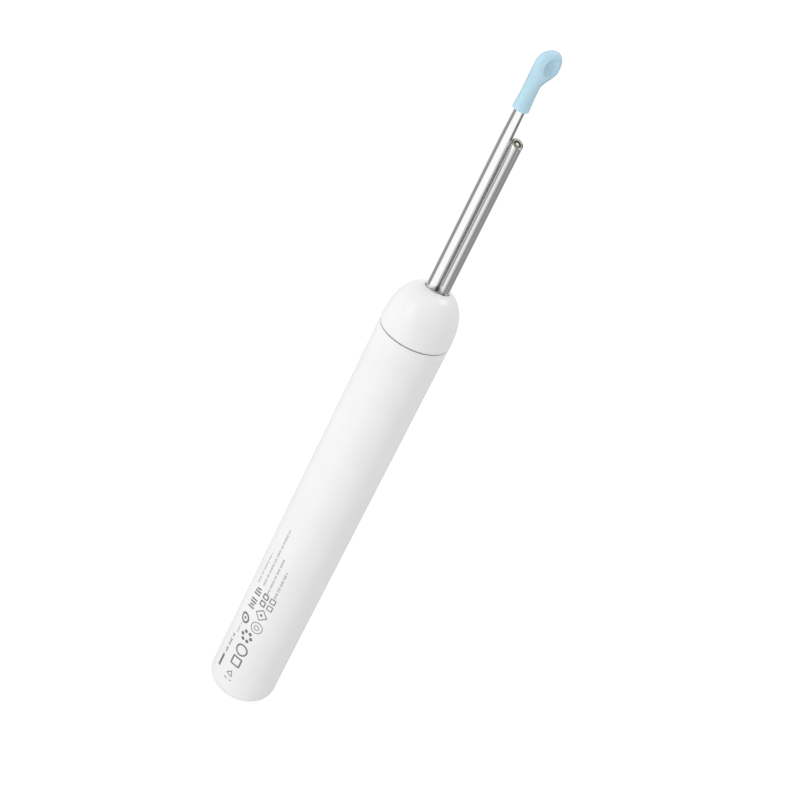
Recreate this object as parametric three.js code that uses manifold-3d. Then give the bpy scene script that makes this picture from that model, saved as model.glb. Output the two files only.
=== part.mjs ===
// Ear wax cleaner: a pen-shaped handle that carries a camera tube and a scoop rod side by side.
// Millimetres. +Z runs along the pen from its flat tail (z = 0) to the soft tip, +Y is the button side.
import * as THREE from 'three';
import { mergeVertices } from 'three/addons/utils/BufferGeometryUtils.js';
import Module from 'manifold-3d';

const wasm = await Module();
wasm.setup();

// ---------------------------------------------------------------- driving dimensions
const HANDLE_R = 6.6;            // outside radius of the handle
const WALL = 1.0;                // shell thickness
const BORE_R = HANDLE_R - WALL;  // inside radius of the handle
const TAIL_EDGE_R = 2.5;         // rounding between the side and the flat tail
const TAIL_WALL = 1.4;           // thickness of the tail floor
const SEAM_Z = 86.55;            // end of the handle shell
const SEAM_GAP = 0.25;           // height of the shadow line under the dome
const DOME_H = 9.75;             // height of the dome above the seam, before its top is flattened
const DOME_POWER = 2.5;          // fullness of the dome's curve, 2 is an ellipse
const DOME_WALL = 1.2;
const SPIGOT_R = 5.5;            // the dome's neck that fits into the handle
const SPIGOT_L = 4.0;
const SPIGOT_WALL = 0.9;
const MOUTH_X = 0.14;            // middle of the oval mouth that both tubes leave by
const MOUTH_HALF_X = 2.3;
const MOUTH_HALF_Y = 1.5;
const MOUTH_Z = SEAM_Z + 9.45;   // height of the dome's flat top, where the mouth is
const MOUTH_DEPTH = 0.25;        // the seal lies this far inside the mouth

const ROD_X = -0.92;             // axis of the scoop rod
const ROD_R = 1.04;
const ROD_NECK_R = 0.96;         // radius of the rod inside the soft tip
const ROD_TAPER_Z = [125.0, 131.0];
const ROD_END_Z = 136.2;
const TUBE_X = 1.19;             // axis of the camera tube
const TUBE_R = 1.05;
const TUBE_BORE_R = 0.87;
const TUBE_FOOT_Z = 84.6;        // both tubes start here, inside the holder
const FACE_Z = 125.8;            // middle of the slanted camera face
const FACE_SLOPE = [-0.23, 0.38]; // rise of the camera face per millimetre of x and of y

const TIP_FOOT_Z = 131.2;
const TIP_END_Z = 142.7;
const TIP_FOOT_R = 1.43;
const TIP_BORE_R = 1.01;

const BOARD_Y = [1.65, 2.45];    // the two faces of the main board
const BOARD_Z = [3.2, 82.2];
const BOARD_HALF_W = 4.6;
const SCREW_Z = [13.0, 57.0];    // the two screws that hold the board to the carrier
const PORT_OPENING = [9.1, 3.3, 1.6]; // width, height and corner radius of the inlet's opening
const BUTTON_Z = 66.0;
const BUTTON_R = 2.7;
const LIGHT_Z = 75.0;            // status light, above the button
const CLEAR = 0.05;              // running gap between neighbouring pieces

const ROUND = 48;                // facets round the handle
const SMALL_ROUND = 24;          // facets round the tubes
const TINY_ROUND = 12;           // facets round wires and screws

// ---------------------------------------------------------------- colours
const COLOURS = {
  white: [0xf2f2f3, 0.32, 0.0],
  steel: [0xc9cbcd, 0.28, 1.0],
  silicone: [0xa9d4ea, 0.5, 0.0],
  glass: [0xdfe8ee, 0.05, 0.0],
  amber: [0xd9cf9a, 0.35, 0.0],
  black: [0x151515, 0.5, 0.0],
  darkRubber: [0x77797c, 0.7, 0.0],
  greyPlastic: [0x9a9da1, 0.55, 0.0],
  board: [0x1f5a3a, 0.45, 0.0],
  solderMask: [0x20324a, 0.45, 0.0],
  can: [0xb9bcc0, 0.35, 1.0],
  cell: [0xb5b9c4, 0.35, 0.6],
  foam: [0xe8e4d8, 0.9, 0.0],
  flex: [0xb8742a, 0.5, 0.0],
  red: [0xb02a24, 0.5, 0.0],
  blackWire: [0x1c1c1e, 0.5, 0.0],
  ceramic: [0xe9e6dc, 0.5, 0.0],
  lightPipe: [0xe6edf2, 0.15, 0.0],
};

// ---------------------------------------------------------------- solid helpers
function signedVolume(geometry) {
  const p = geometry.attributes.position;
  const index = geometry.index;
  const a = new THREE.Vector3();
  const b = new THREE.Vector3();
  const c = new THREE.Vector3();
  let six = 0;
  for (let i = 0; i < index.count; i += 3) {
    a.fromBufferAttribute(p, index.getX(i));
    b.fromBufferAttribute(p, index.getX(i + 1));
    c.fromBufferAttribute(p, index.getX(i + 2));
    six += a.dot(b.cross(c));
  }
  return six / 6;
}

// A three.js geometry as a boolean-ready solid that faces out.
function solid(geometry) {
  const bare = geometry.clone();
  bare.deleteAttribute('normal');
  bare.deleteAttribute('uv');
  const merged = mergeVertices(bare, 1e-5);
  const triangles = Uint32Array.from(merged.index.array);
  if (signedVolume(merged) < 0) {
    for (let i = 0; i < triangles.length; i += 3) {
      [triangles[i + 1], triangles[i + 2]] = [triangles[i + 2], triangles[i + 1]];
    }
  }
  const mesh = new wasm.Mesh({
    numProp: 3,
    vertProperties: Float32Array.from(merged.attributes.position.array),
    triVerts: triangles,
  });
  return new wasm.Manifold(mesh);
}

function join(first, ...others) {
  return others.reduce((all, next) => all.add(next), first);
}

function cut(first, ...tools) {
  return tools.reduce((left, tool) => left.subtract(tool), first);
}

// Rod along Z, or along Y when `along` is 'y'; `at` is [x, y or z] of its axis.
function rod(radius, from, to, at = [0, 0], along = 'z', facets = SMALL_ROUND) {
  const geometry = new THREE.CylinderGeometry(radius, radius, to - from, facets);
  geometry.translate(0, (from + to) / 2, 0);
  if (along === 'y') {
    geometry.translate(at[0], 0, at[1]);
  } else {
    geometry.rotateX(Math.PI / 2);
    geometry.translate(at[0], at[1], 0);
  }
  return solid(geometry);
}

function block([x0, x1], [y0, y1], [z0, z1]) {
  const geometry = new THREE.BoxGeometry(x1 - x0, y1 - y0, z1 - z0);
  geometry.translate((x0 + x1) / 2, (y0 + y1) / 2, (z0 + z1) / 2);
  return solid(geometry);
}

// Outline given as [radius, height] pairs, turned about Z.
function turned(outline, facets = ROUND) {
  const points = outline.map(([r, h]) => new THREE.Vector2(r, h));
  const geometry = new THREE.LatheGeometry(points, facets);
  geometry.rotateX(Math.PI / 2);
  return solid(geometry);
}

// Flat shape in x and y, pushed along Z.
function pushed(shape, from, to, curveSegments = 8) {
  const geometry = new THREE.ExtrudeGeometry(shape, { depth: to - from, bevelEnabled: false, curveSegments });
  geometry.translate(0, 0, from);
  return solid(geometry);
}

// Flat shape in x and z, pushed along Y.
function pushedAlongY(shape, from, to, curveSegments = 8) {
  const geometry = new THREE.ExtrudeGeometry(shape, { depth: to - from, bevelEnabled: false, curveSegments });
  geometry.rotateX(Math.PI / 2);
  geometry.translate(0, to, 0);
  return solid(geometry);
}

// Rectangle with rounded corners, centred on (cx, cy).
function roundedRect(width, height, radius, cx = 0, cy = 0) {
  const x = width / 2;
  const y = height / 2;
  const shape = new THREE.Shape();
  shape.moveTo(cx + x - radius, cy - y);
  shape.absarc(cx + x - radius, cy - y + radius, radius, -Math.PI / 2, 0);
  shape.absarc(cx + x - radius, cy + y - radius, radius, 0, Math.PI / 2);
  shape.absarc(cx - x + radius, cy + y - radius, radius, Math.PI / 2, Math.PI);
  shape.absarc(cx - x + radius, cy - y + radius, radius, Math.PI, 1.5 * Math.PI);
  shape.closePath();
  return shape;
}

// Oval that keeps `margin` outside the dome's mouth.
function mouthOval(margin) {
  const shape = new THREE.Shape();
  shape.absellipse(MOUTH_X, 0, MOUTH_HALF_X + margin, MOUTH_HALF_Y + margin, 0, 2 * Math.PI);
  return shape;
}

// Points on an arc, from a0 to a1 in quarter turns, as [radius, height].
function arc([cr, ch], radius, a0, a1, steps) {
  const points = [];
  for (let i = 0; i <= steps; i += 1) {
    const angle = (Math.PI / 2) * (a0 + ((a1 - a0) * i) / steps);
    points.push([cr + radius * Math.cos(angle), ch + radius * Math.sin(angle)]);
  }
  return points;
}

// Superellipse quarter from the rim (radius r, height z) to the axis.
function domeCurve(r, z, height, steps) {
  const points = [];
  for (let i = 0; i <= steps; i += 1) {
    const angle = ((Math.PI / 2) * i) / steps;
    const across = r * Math.max(Math.cos(angle), 0) ** (2 / DOME_POWER);
    points.push([i === steps ? 0 : across, z + height * Math.sin(angle) ** (2 / DOME_POWER)]);
  }
  return points;
}

// Everything above the slanted camera face, `lift` millimetres up, over a square round the tube.
function aboveFace(lift = 0) {
  const HALF = 2.0;
  const TOP = 8.0;
  const geometry = new THREE.BoxGeometry(2 * HALF, 2 * HALF, TOP);
  geometry.translate(TUBE_X, 0, FACE_Z + lift + TOP / 2);
  const p = geometry.attributes.position;
  for (let i = 0; i < p.count; i += 1) {
    if (p.getZ(i) < FACE_Z + lift + TOP / 2) {
      const rise = FACE_SLOPE[0] * (p.getX(i) - TUBE_X) + FACE_SLOPE[1] * p.getY(i);
      p.setZ(i, FACE_Z + lift + rise);
    }
  }
  return solid(geometry);
}

// Ribbon of even thickness that follows a curve in the y-z plane, `width` wide about x.
function ribbon(curve, thickness, width, x, steps) {
  const near = [];
  const far = [];
  for (let i = 0; i <= steps; i += 1) {
    const p = curve.getPoint(i / steps);
    const t = curve.getTangent(i / steps);
    near.push(new THREE.Vector2(p.x - (t.y * thickness) / 2, p.y + (t.x * thickness) / 2));
    far.push(new THREE.Vector2(p.x + (t.y * thickness) / 2, p.y - (t.x * thickness) / 2));
  }
  const shape = new THREE.Shape([...near, ...far.reverse()]);
  const geometry = new THREE.ExtrudeGeometry(shape, { depth: width, bevelEnabled: false });
  // shape x is y, shape y is z and depth is x
  const turn = new THREE.Matrix4().set(0, 0, 1, x - width / 2, 1, 0, 0, 0, 0, 1, 0, 0, 0, 0, 0, 1);
  geometry.applyMatrix4(turn);
  return solid(geometry);
}

// ---------------------------------------------------------------- shells
function handleShell() {
  const outside = [
    [0, 0],
    ...arc([HANDLE_R - TAIL_EDGE_R, TAIL_EDGE_R], TAIL_EDGE_R, -1, 0, 6),
    [HANDLE_R, SEAM_Z],
    [BORE_R, SEAM_Z],
    ...arc([BORE_R - WALL, TAIL_WALL + WALL], WALL, 0, -1, 2),
    [0, TAIL_WALL],
  ];
  const port = pushed(roundedRect(...PORT_OPENING), -1, TAIL_WALL + 1);
  const buttonHole = rod(BUTTON_R + 0.15, 4, HANDLE_R + 1, [0, BUTTON_Z], 'y', SMALL_ROUND);
  const lightHole = rod(0.6, 4, HANDLE_R + 1, [0, LIGHT_Z], 'y', TINY_ROUND);
  return cut(turned(outside), port, buttonHole, lightHole);
}

function frontDome() {
  const foot = SEAM_Z + SEAM_GAP;
  const inner = SPIGOT_R - SPIGOT_WALL;
  const innerFoot = foot + 0.6;
  const top = SEAM_Z + DOME_H;
  const outline = [
    ...domeCurve(HANDLE_R, foot, top - foot, 9).reverse(),
    [SPIGOT_R, foot],
    [SPIGOT_R, SEAM_Z - SPIGOT_L],
    [inner, SEAM_Z - SPIGOT_L],
    ...domeCurve(inner, innerFoot, top - DOME_WALL - innerFoot, 6),
  ];
  const aboveTop = rod(HANDLE_R, MOUTH_Z, top + 1);
  const mouth = pushed(mouthOval(0), SEAM_Z + 5, top + 1, 14);
  return cut(turned(outline), aboveTop, mouth);
}

// Thin rubber ring in the shadow line between the handle and the dome.
function seamRing() {
  const top = SEAM_Z + SEAM_GAP - 0.03;
  const foot = SEAM_Z + 0.03;
  const inner = SPIGOT_R + 0.06;
  const outer = HANDLE_R - 0.25;
  return turned([[inner, foot], [outer, foot], [outer, top], [inner, top], [inner, foot]]);
}

const HOLDER_TOP_Z = SEAM_Z + 7.0;

// Plastic plug that grips both tubes inside the dome.
function tubeHolder() {
  const wide = rod(4.5, SEAM_Z - 3.4, SEAM_Z + 2.4, [0, 0], 'z', ROUND / 2);
  const narrow = rod(2.7, SEAM_Z + 2.2, HOLDER_TOP_Z, [0, 0], 'z', ROUND / 2);
  const rodSeat = rod(ROD_R + CLEAR, TUBE_FOOT_Z - CLEAR, HOLDER_TOP_Z + 1, [ROD_X, 0]);
  const tubeSeat = rod(TUBE_R + CLEAR, TUBE_FOOT_Z - CLEAR, HOLDER_TOP_Z + 1, [TUBE_X, 0]);
  const flexWay = block([TUBE_X - 0.75, TUBE_X + 0.75], [-0.7, 2.2], [SEAM_Z - 4, TUBE_FOOT_Z + 0.1]);
  return cut(join(wide, narrow), rodSeat, tubeSeat, flexWay);
}

// Dark rubber seal round both tubes, inside the dome's mouth.
function tubeSeal() {
  const foot = HOLDER_TOP_Z + CLEAR;
  const top = MOUTH_Z - MOUTH_DEPTH;
  const grip = 0.03;
  const body = pushed(mouthOval(-0.03), foot, top, 14);
  const rodWay = rod(ROD_R + grip, foot - 1, top + 1, [ROD_X, 0]);
  const tubeWay = rod(TUBE_R + grip, foot - 1, top + 1, [TUBE_X, 0]);
  return cut(body, rodWay, tubeWay);
}

// ---------------------------------------------------------------- scoop rod and soft tip
function scoopRod() {
  const outline = [
    [0, TUBE_FOOT_Z],
    [ROD_R, TUBE_FOOT_Z],
    [ROD_R, ROD_TAPER_Z[0]],
    [ROD_NECK_R, ROD_TAPER_Z[1]],
    [ROD_NECK_R, ROD_END_Z - 0.3],
    [ROD_NECK_R - 0.3, ROD_END_Z],
    [0, ROD_END_Z],
  ];
  return turned(outline, SMALL_ROUND).translate([ROD_X, 0, 0]);
}

function smooth(from, to, value) {
  const t = Math.min(Math.max((value - from) / (to - from), 0), 1);
  return t * t * (3 - 2 * t);
}

const HEAD_FROM_Z = 135.6;       // the tip widens from here
const HEAD_FULL_Z = 139.6;       // to here
const CAP_FROM_Z = 140.0;        // and rounds off above this
const HEAD_ACROSS = 2.36;        // half-width of the head
const HEAD_DEEP = 1.5;           // half-depth of the head
const HEAD_LEAN = 1.14;          // how far the head's middle leans to the bowl side
const CAP_LEAN = 0.3;            // how much further the very top leans
const FOOT_DRAFT = 0.12;         // how much slimmer the neck is than its foot
const BOWL_TURN = (-50 * Math.PI) / 180; // direction the bowl faces, about Z from +X

// One cross-section of the soft tip: an oval whose middle leans towards the bowl side.
function tipSection(z) {
  const spread = smooth(HEAD_FROM_Z, HEAD_FULL_Z, z);
  const over = Math.max(z - CAP_FROM_Z, 0) / (TIP_END_Z - CAP_FROM_Z);
  const cap = Math.sqrt(Math.max(1 - over * over, 0));
  const neck = TIP_FOOT_R - FOOT_DRAFT * smooth(TIP_FOOT_Z, TIP_FOOT_Z + 3, z);
  return {
    across: (neck + (HEAD_ACROSS - neck) * spread) * cap,
    deep: (neck + (HEAD_DEEP - neck) * spread) * cap,
    lean: HEAD_LEAN * spread + CAP_LEAN * over * over,
  };
}

// Heights of the cross-sections: even along the neck and the head, closing up over the cap.
function tipHeights() {
  const NECK_STEPS = 3;
  const HEAD_STEPS = 6;
  const CAP_STEPS = 6;
  const heights = [];
  for (let i = 0; i < NECK_STEPS; i += 1) {
    heights.push(TIP_FOOT_Z + ((HEAD_FROM_Z - TIP_FOOT_Z) * i) / NECK_STEPS);
  }
  for (let i = 0; i < HEAD_STEPS; i += 1) {
    heights.push(HEAD_FROM_Z + ((CAP_FROM_Z - HEAD_FROM_Z) * i) / HEAD_STEPS);
  }
  for (let i = 0; i < CAP_STEPS; i += 1) {
    heights.push(CAP_FROM_Z + (TIP_END_Z - CAP_FROM_Z) * Math.sin((Math.PI * i) / (2 * CAP_STEPS)));
  }
  return heights;
}

// The tip's outside, before the socket and the bowl are cut.
function tipBody() {
  const FACETS = 20;
  const heights = tipHeights();
  const corners = [];
  heights.forEach((z) => {
    const { across, deep, lean } = tipSection(z);
    for (let i = 0; i < FACETS; i += 1) {
      const angle = (2 * Math.PI * i) / FACETS;
      corners.push(lean + deep * Math.cos(angle), across * Math.sin(angle), z);
    }
  });
  const footPole = heights.length * FACETS;
  const endPole = footPole + 1;
  const topRing = footPole - FACETS;
  corners.push(0, 0, TIP_FOOT_Z, tipSection(TIP_END_Z).lean, 0, TIP_END_Z);
  const faces = [];
  for (let i = 0; i < FACETS; i += 1) {
    const next = (i + 1) % FACETS;
    for (let ring = 0; ring < topRing; ring += FACETS) {
      faces.push(ring + i, ring + next, ring + FACETS + next);
      faces.push(ring + i, ring + FACETS + next, ring + FACETS + i);
    }
    faces.push(next, i, footPole);
    faces.push(topRing + i, topRing + next, endPole);
  }
  const geometry = new THREE.BufferGeometry();
  geometry.setAttribute('position', new THREE.Float32BufferAttribute(corners, 3));
  geometry.setIndex(faces);
  return geometry;
}

function scoopTip() {
  const bowl = new THREE.SphereGeometry(1, 16, 10);
  bowl.scale(1.2, 1.6, 2.25);
  bowl.translate(3.13, 0, 140.0);
  const [body, hollow] = [tipBody(), bowl].map((geometry) => {
    geometry.rotateZ(BOWL_TURN);
    geometry.translate(ROD_X + CLEAR, 0, 0);
    return solid(geometry);
  });
  const socket = rod(TIP_BORE_R, TIP_FOOT_Z - 1, ROD_END_Z + 0.3, [ROD_X, 0]);
  return cut(body, socket, hollow);
}

// ---------------------------------------------------------------- camera tube and its module
const LIGHT_GUIDE_FOOT_Z = 124.2;
const BARREL_FOOT_Z = 123.4;
const BARREL_R = 0.61;
const WINDOW_R = 0.34;
const LIGHT_R = (TUBE_BORE_R + BARREL_R) / 2; // the light chips stand on this circle
const ABOVE_FACE_Z = FACE_Z + 2;              // pieces start this long and are cut to the face

function tubePiece(outer, inner, from, to) {
  const body = rod(outer, from, to, [TUBE_X, 0]);
  return inner > 0 ? cut(body, rod(inner, from - 1, to + 1, [TUBE_X, 0])) : body;
}

function cameraTube() {
  return cut(tubePiece(TUBE_R, TUBE_BORE_R, TUBE_FOOT_Z, ABOVE_FACE_Z), aboveFace());
}

function lightGuide() {
  const body = tubePiece(TUBE_BORE_R - 0.03, BARREL_R + 0.03, LIGHT_GUIDE_FOOT_Z, ABOVE_FACE_Z);
  return cut(body, aboveFace(-0.06));
}

function lensBarrel() {
  return cut(tubePiece(BARREL_R, WINDOW_R + 0.02, BARREL_FOOT_Z, ABOVE_FACE_Z), aboveFace(-0.02));
}

function lensWindow() {
  return cut(tubePiece(WINDOW_R, 0, FACE_Z - 0.4, ABOVE_FACE_Z), aboveFace(-0.08));
}

const LENS_THICKNESS = 0.35;

function lensElement(from) {
  return tubePiece(WINDOW_R, 0, from, from + LENS_THICKNESS);
}

// Ring board under the light guide, with four light chips standing on it.
function lightRing() {
  const foot = LIGHT_GUIDE_FOOT_Z - 0.42;
  const half = 0.06;
  const ring = tubePiece(TUBE_BORE_R - 0.03, BARREL_R + 0.03, foot, foot + 0.14);
  const chips = [];
  for (let quarter = 0; quarter < 4; quarter += 1) {
    const angle = (quarter * Math.PI) / 2;
    const x = TUBE_X + LIGHT_R * Math.cos(angle);
    const y = LIGHT_R * Math.sin(angle);
    chips.push(block([x - half, x + half], [y - half, y + half], [foot + 0.1, foot + 0.38]));
  }
  return join(ring, ...chips);
}

// Square plate under the barrel, its faces `below` millimetres under the barrel's foot.
function plateUnderBarrel(half, [below0, below1]) {
  const heights = [BARREL_FOOT_Z - below1, BARREL_FOOT_Z - below0];
  return block([TUBE_X - half, TUBE_X + half], [-half, half], heights);
}

const CONNECTOR_Z = [78.6, 80.6];
const CONNECTOR_Y = 1.0;         // the flexible circuit enters the connector at this depth

// Flexible circuit: straight down the camera tube, then an S-bend into the connector.
function cameraFlex() {
  const top = new THREE.Vector2(0, BARREL_FOOT_Z - 0.6);
  const bendStart = new THREE.Vector2(0, 84.2);
  const bendEnd = new THREE.Vector2(CONNECTOR_Y, 81.6);
  const end = new THREE.Vector2(CONNECTOR_Y, 79.4);
  const curve = new THREE.CurvePath();
  curve.add(new THREE.LineCurve(top, bendStart));
  curve.add(new THREE.CubicBezierCurve(
    bendStart, new THREE.Vector2(0, 82.9), new THREE.Vector2(CONNECTOR_Y, 83.0), bendEnd,
  ));
  curve.add(new THREE.LineCurve(bendEnd, end));
  return ribbon(curve, 0.12, 0.9, TUBE_X, 48);
}

// ---------------------------------------------------------------- electronics inside the handle
function mainBoard() {
  const middle = (BOARD_Z[0] + BOARD_Z[1]) / 2;
  const shape = roundedRect(2 * BOARD_HALF_W, BOARD_Z[1] - BOARD_Z[0], 0.8, 0, middle);
  const board = pushedAlongY(shape, BOARD_Y[0], BOARD_Y[1], 3);
  const holes = SCREW_Z.map((z) => rod(0.8, BOARD_Y[0] - 1, BOARD_Y[1] + 1, [0, z], 'y', TINY_ROUND));
  return cut(board, ...holes);
}

// Parts on the board: under it is the cell side (low y), over it is the button side.
const RADIO_CAN = { under: true, halfX: 3.5, z: [61.6, 70.4], height: 1.5 };
const RADIO_CHIP = { under: true, halfX: 2.2, z: [63.6, 68.2], height: 0.8 };
const VIDEO_CHIP = { under: true, halfX: 2.4, z: [72.2, 77.0], height: 0.9 };
const FLEX_CONNECTOR = { under: true, halfX: 2.2, z: CONNECTOR_Z, height: 1.15, x: TUBE_X };
const ANTENNA_CHIP = { under: false, halfX: 1.6, z: [79.6, 81.2], height: 1.0 };
const MOTION_SENSOR = { under: false, halfX: 1.4, z: [69.8, 72.6], height: 0.8 };
const CLOCK_CRYSTAL = { under: false, halfX: 0.8, z: [60.0, 62.4], height: 0.6, x: 2.2 };
const CHARGE_CHIP = { under: false, halfX: 1.5, z: [22.0, 25.0], height: 0.8 };
const POWER_COIL = { under: false, halfX: 1.3, z: [28.0, 30.6], height: 1.2 };
const STATUS_LIGHT = { under: false, halfX: 0.45, z: [LIGHT_Z - 0.8, LIGHT_Z + 0.8], height: 0.6 };

function onBoard({ under, halfX, z, height, x = 0 }) {
  const foot = under ? BOARD_Y[0] - CLEAR - height : BOARD_Y[1] + CLEAR;
  return block([x - halfX, x + halfX], [foot, foot + height], z);
}

// Sheet can, open towards the board, over the radio chip.
function radioCan() {
  const SHEET = 0.2;
  const { halfX, z, height } = RADIO_CAN;
  const inside = halfX - SHEET;
  const hollow = block(
    [-inside, inside],
    [BOARD_Y[0] - CLEAR - height + SHEET, BOARD_Y[0] + 1],
    [z[0] + SHEET, z[1] - SHEET],
  );
  return cut(onBoard(RADIO_CAN), hollow);
}

function flexConnector() {
  const slot = block(
    [TUBE_X - 0.55, TUBE_X + 0.55],
    [CONNECTOR_Y - 0.12, CONNECTOR_Y + 0.12],
    [CONNECTOR_Z[0] + 0.7, CONNECTOR_Z[1] + 1],
  );
  return cut(onBoard(FLEX_CONNECTOR), slot);
}

// Trough that carries the board on two ledges, with a bridge under each screw.
function carrierFrame() {
  const OUT_R = BORE_R - 0.15;
  const IN_R = 4.9;
  const LEDGE = [1.0, BOARD_Y[0] - 0.1];
  const LEDGE_X = 4.1;
  const outAngle = Math.asin(LEDGE[1] / OUT_R);
  const inAngle = Math.asin(LEDGE[0] / IN_R);
  const shape = new THREE.Shape();
  shape.absarc(0, 0, OUT_R, outAngle, -Math.PI - outAngle, true);
  shape.lineTo(-LEDGE_X, LEDGE[1]);
  shape.lineTo(-LEDGE_X, LEDGE[0]);
  shape.lineTo(-IN_R * Math.cos(inAngle), LEDGE[0]);
  shape.absarc(0, 0, IN_R, -Math.PI - inAngle, inAngle, false);
  shape.lineTo(LEDGE_X, LEDGE[0]);
  shape.lineTo(LEDGE_X, LEDGE[1]);
  shape.closePath();
  const trough = pushed(shape, 8.4, 82.2, 14);
  const bridges = SCREW_Z.map((z) => block([-4.3, 4.3], [0.25, LEDGE[1]], [z - 2.2, z + 2.2]));
  const screwWays = SCREW_Z.map((z) => rod(0.66, 0, BOARD_Y[0] + 1, [0, z], 'y', TINY_ROUND));
  return cut(join(trough, ...bridges), ...screwWays);
}

function boardScrew(z) {
  const head = BOARD_Y[1] + 0.03;
  const shank = rod(0.6, 0.4, head + 0.1, [0, z], 'y', TINY_ROUND);
  const cap = rod(1.15, head, head + 0.6, [0, z], 'y', SMALL_ROUND);
  const slotA = block([-0.75, 0.75], [head + 0.3, head + 1], [z - 0.12, z + 0.12]);
  const slotB = block([-0.12, 0.12], [head + 0.3, head + 1], [z - 0.75, z + 0.75]);
  return cut(join(shank, cap), slotA, slotB);
}

const CELL_Z = [17.0, 53.0];
const CELL_Y = [-2.9, 0.95];

function batteryCell() {
  const height = CELL_Y[1] - CELL_Y[0];
  return pushed(roundedRect(7.6, height, 1.2, 0, (CELL_Y[0] + CELL_Y[1]) / 2), CELL_Z[0], CELL_Z[1], 4);
}

function batteryPad() {
  return block([-3, 3], [CELL_Y[1] + 0.03, BOARD_Y[0] - 0.04], [CELL_Z[0] + 3, CELL_Z[1] - 3]);
}

function batteryLead(x) {
  const path = new THREE.CatmullRomCurve3([
    new THREE.Vector3(x, -1.3, CELL_Z[1] + 0.05),
    new THREE.Vector3(x, -1.3, 56.0),
    new THREE.Vector3(x, -1.1, 58.6),
    new THREE.Vector3(x, 0.2, 60.2),
    new THREE.Vector3(x, BOARD_Y[0] - 0.06, 60.5),
  ]);
  const wire = new THREE.Shape();
  wire.absarc(0, 0, 0.3, 0, 2 * Math.PI);
  const geometry = new THREE.ExtrudeGeometry(wire, { steps: 14, curveSegments: 4, extrudePath: path });
  return solid(geometry);
}

// ---------------------------------------------------------------- charging inlet
const PORT_Z = [0.5, 8.0];

function usbShell() {
  const outer = pushed(roundedRect(8.9, 3.1, 1.5), PORT_Z[0], PORT_Z[1], 5);
  const inner = pushed(roundedRect(8.34, 2.54, 1.22), PORT_Z[0] - 1, PORT_Z[1] - 0.3, 5);
  return cut(outer, inner);
}

function usbTongue() {
  const blade = block([-3.3, 3.3], [-0.35, 0.35], [PORT_Z[0] + 0.8, PORT_Z[1] - 1.5]);
  const root = pushed(roundedRect(8.2, 2.4, 1.15), PORT_Z[1] - 1.9, PORT_Z[1] - 0.35, 5);
  return join(blade, root);
}

function usbSeal() {
  const outer = pushed(roundedRect(9.3, 4.3, 2.1), TAIL_WALL + 0.1, TAIL_WALL + 1.0, 5);
  const inner = pushed(roundedRect(9.0, 3.18, 1.54), TAIL_WALL - 1, TAIL_WALL + 2, 5);
  return cut(outer, inner);
}

// ---------------------------------------------------------------- button and status light
const SWITCH_TOP = 3.4;
const BUTTON_FLANGE_Y = [3.9, 4.3];
const BUTTON_FLANGE_R = 3.2;

function switchBody() {
  const half = 1.75;
  const height = SWITCH_TOP - BOARD_Y[1] - CLEAR;
  const body = onBoard({ under: false, halfX: half, z: [BUTTON_Z - half, BUTTON_Z + half], height });
  return cut(body, rod(0.9, SWITCH_TOP - 0.5, SWITCH_TOP + 1, [0, BUTTON_Z], 'y', SMALL_ROUND));
}

function switchPlunger() {
  return rod(0.8, SWITCH_TOP - 0.12, BUTTON_FLANGE_Y[0] - 0.03, [0, BUTTON_Z], 'y', SMALL_ROUND);
}

function buttonCap() {
  const CROWN_Y = HANDLE_R + 0.3;
  const outline = [
    [0, BUTTON_FLANGE_Y[0]],
    [BUTTON_FLANGE_R, BUTTON_FLANGE_Y[0]],
    [BUTTON_FLANGE_R, BUTTON_FLANGE_Y[1]],
    [BUTTON_R, BUTTON_FLANGE_Y[1]],
    [BUTTON_R, CROWN_Y - 0.25],
    [BUTTON_R - 0.25, CROWN_Y - 0.05],
    [BUTTON_R - 0.8, CROWN_Y],
    [0, CROWN_Y],
  ];
  const points = outline.map(([r, h]) => new THREE.Vector2(r, h));
  const geometry = new THREE.LatheGeometry(points, SMALL_ROUND);
  geometry.translate(0, 0, BUTTON_Z);
  return solid(geometry);
}

function lightPipe() {
  return rod(0.52, BOARD_Y[1] + 0.7, HANDLE_R + 0.02, [0, LIGHT_Z], 'y', TINY_ROUND);
}

// ---------------------------------------------------------------- the whole pen
function piece(name, body, colour) {
  const { vertProperties, triVerts, numProp } = body.getMesh();
  const corners = [];
  for (let i = 0; i < vertProperties.length; i += numProp) {
    corners.push(vertProperties[i], vertProperties[i + 1], vertProperties[i + 2]);
  }
  const geometry = new THREE.BufferGeometry();
  geometry.setAttribute('position', new THREE.Float32BufferAttribute(corners, 3));
  geometry.setIndex(Array.from(triVerts));
  geometry.computeVertexNormals();
  const [hex, roughness, metalness] = COLOURS[colour];
  const mesh = new THREE.Mesh(geometry, new THREE.MeshStandardMaterial({ color: hex, roughness, metalness }));
  mesh.name = name;
  return mesh;
}

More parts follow.
